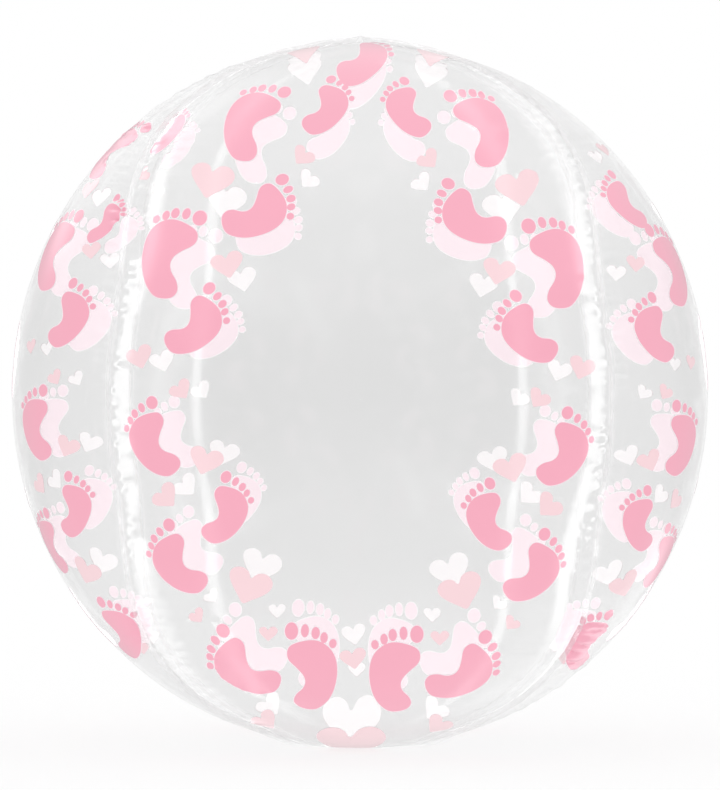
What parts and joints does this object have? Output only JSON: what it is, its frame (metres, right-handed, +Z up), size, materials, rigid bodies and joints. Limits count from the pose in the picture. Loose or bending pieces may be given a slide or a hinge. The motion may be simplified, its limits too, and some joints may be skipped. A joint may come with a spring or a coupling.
{
  "type": "clear bubble balloon",
  "caption": "Round clear film balloon of welded gores, printed with pink baby feet and hearts, resting on a small flat spot.",
  "frame": {"origin": "middle of the flat spot the balloon rests on, on the pole axis", "axes": "+Z up along the pole axis where the four welds meet, -Y towards the front gore, +X towards the right gore"},
  "size_m": [0.465, 0.465, 0.4741],
  "materials": {
    "printed_film": "clear glossy film with opaque pink feet and pale pink hearts printed on it, white-backed, so they look almost white from inside"
  },
  "bodies": {
    "root": {"front_panel": "printed_film", "right_panel": "printed_film", "back_panel": "printed_film", "left_panel": "printed_film"}
  },
  "joints": []
}
